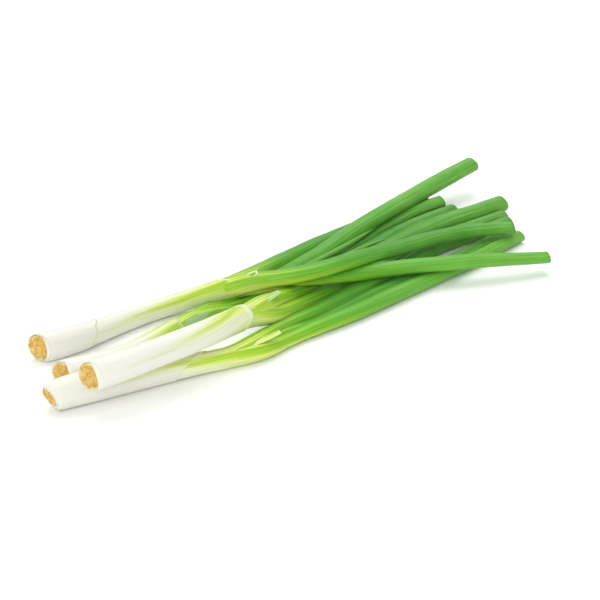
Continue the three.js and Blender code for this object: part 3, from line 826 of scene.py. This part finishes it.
# From one angle to another round the neck, how far it starts and ends past the stalk's end, how
# much narrower it ends, how wide it lies beside the neck, how far it rises, and how much paler it is
TONGUES = {
    "a": (112, 152, -8 * mm, 8.5 * mm, 0.75, 0.94, 6.2 * mm, 0 * mm),
    "b": (68, 126, -8 * mm, 14 * mm, 0.6, 0.94, 2.2 * mm, 0 * mm),
    "c": (125, 205, -34 * mm, 6 * mm, 0.85, 1.08, 2.2 * mm, 0 * mm),
    "d": (66, 124, -6 * mm, 17 * mm, 0.6, 0.96, 2.2 * mm, 14 * mm),
}
TONGUE_SPARE = 5 * mm
TONGUE_SINK = 1.1 * mm
TONGUE_WALL = 0.25 * mm
TONGUE_RAGGED = 2 * mm
TONGUE_ROWS = 24

for onion, (start_angle, end_angle, behind, past, narrowing, fit, rise, paler) in TONGUES.items():
    route = stretched(stalk_routes[onion], 0, past + TONGUE_SPARE)
    route[:, 3:] *= fit
    neck = ROUTE_SPARE + stalk_lengths[onion]
    tongue = wrap(f"onion_{onion}_tongue", route, tongue_skins[onion], {
        "From Angle": math.radians(start_angle), "To Angle": math.radians(end_angle),
        "Start": neck + behind, "End": neck + past, "Narrowing": narrowing, "Ragged": TONGUE_RAGGED,
        "Lift": -TONGUE_SINK, "End Lift": rise, "Wall": TONGUE_WALL, "Root Distance": -ROUTE_SPARE,
        "Green From": GREEN_FROM[onion] + paler, "Rows": TONGUE_ROWS, "Columns": TONGUE_ROWS,
        "Seed": SEEDS[onion] + 1,
    })
    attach(tongue, "root")
    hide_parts(f"onion_{onion}_sheath_tongue")


# Leaves
# Long hollow tubes of living leaf skin, grown out of the imported bases and cut off square with a
# knife. Young ones are bright, two of them thin and pointed; older ones are darker with a bloom, and
# c_leaf_dark, the darkest, is painted shade: a darker green because it lies in the shade of the others.
old_leaf_skin = leaf_skin("green leaf blade")
young_leaf_skin = leaf_skin("bright leaf blade", grown=YOUNG_GREEN)
# How old each leaf looks, 0 young and 1 old; the 1.0 for c_leaf_dark is painted shade, a darker green for a
# leaf that lies in the shade of the others
LEAF_AGES_AND_PAINTED_SHADE = {
    "a_leaf_back": 0.75,
    "a_leaf_low": 0.0,
    "a_leaf_wide": 0.55,
    "b_leaf_low": 0.7,
    "b_leaf_wide": 0.5,
    "c_leaf_dark": 1.0,
    "c_leaf_tall": 0.15,
    "c_leaf_young": 0.0,
    "c_leaf_second": 0.5,
    "c_leaf_little": 0.0,
    "d_leaf_dark": 0.7,
    "d_leaf_low": 0.1,
    "d_leaf_back": 0.6,
}
YOUNG = ("young", "little", "low")
POINTED = ("young", "little")
# How much fuller a finished leaf is than the plain one
LEAF_FULLNESS = 1.13
FULLER_LEAVES = {
    "a_leaf_wide": 1.22,
    "b_leaf_wide": 1.3,
    "c_leaf_tall": 1.25,
    "c_leaf_second": 1.2,
    "c_leaf_dark": 1.2,
}
# The base inside the neck, how far it leans to its own leaf, and how soon past it the leaf narrows
BASE_DEPTH = 26 * mm
BASE_SHARE = 0.86
BASE_LEAN = 0.8
BASE_FADE = 60 * mm
BEND_REACH = 6
TIP_LENGTH = 18 * mm
TIP_LEAST = 0.08
LEAF_WALL = 0.6 * mm
YOUNG_WALL = 0.1 * mm
LEAF_RIBS = 15.0
LEAF_CRUMPLE = 0.7 * mm
LEAF_LEAN = 0.6 * mm
LEAF_RAGGED = 0.8 * mm
LEAF_ROW = 2.4 * mm
LEAF_COLUMNS = 49
LEAF_END = 0.2 * mm

for leaf, age_and_shade in LEAF_AGES_AND_PAINTED_SHADE.items():
    onion = leaf[0]
    kind = leaf.split("_")[-1]
    pointed = kind in POINTED
    blade = traced_route(f"onion_{leaf}")
    blade[:, 3:] *= FULLER_LEAVES.get(leaf, LEAF_FULLNESS)
    flatness = blade[:, 4].max() / blade[:, 3].max()

    # The base follows the stalk inside the neck and leans over to where its own leaf starts
    stem = stalk_routes[onion]
    base_share = 0.0 if pointed else BASE_SHARE
    base, _ = resampled(stem[stem[:, 0] > stem[-1, 0] - BASE_DEPTH])
    base[:, :3] += BASE_LEAN * np.linspace(0, 1, len(base))[:, None] ** 3 * (blade[0, :3] - stem[-1, :3])
    base[:, 3:] = np.maximum(base[:, 3:] * base_share, blade[0, 3:])

    # Past the neck the leaf narrows from its base's width to its own
    past_neck = np.linalg.norm(blade[:, :3] - blade[0, :3], axis=1)
    widened = base_share * stem[-1, 3] * np.clip(1 - past_neck / BASE_FADE, 0, 1) ** 0.5
    blade[:, 3] = np.maximum(blade[:, 3], widened)
    blade[:, 4] = np.maximum(blade[:, 4], widened * flatness)

    # Base and leaf become one smooth route that doesn't dip into the table
    route, _ = resampled(np.vstack([base, blade[2:]]))
    ends = route[[0, -1]].copy()
    route = smoothed(route, BEND_REACH)
    route[[0, -1]] = ends
    route[:, 2] = np.maximum(route[:, 2], route[:, 4])
    route, length = resampled(route)
    if pointed:
        tip = np.clip((length - np.linspace(0, length, len(route))) / TIP_LENGTH, TIP_LEAST, 1)
        route[:, 3:] *= np.sqrt(tip)[:, None]
    skin = young_leaf_skin if kind in YOUNG else old_leaf_skin
    blade_object = wrap(f"onion_{leaf.replace('leaf', 'blade')}", route, skin, {
        "Start": 0.0, "End": length - LEAF_END, "Lean": LEAF_LEAN, "Ragged": LEAF_RAGGED,
        "Wall": YOUNG_WALL if pointed else LEAF_WALL, "Ribs": LEAF_RIBS, "Rib Height": RIB_HEIGHT,
        "Crumple": LEAF_CRUMPLE, "Root Distance": stalk_lengths[onion] - BASE_DEPTH,
        "Green From": GREEN_FROM[onion], "Rows": round(length / LEAF_ROW), "Columns": LEAF_COLUMNS,
        "Age": age_and_shade, "Seed": SEEDS[onion] + len(kind),
    })
    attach(blade_object, "root")
    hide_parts(f"onion_{leaf}")
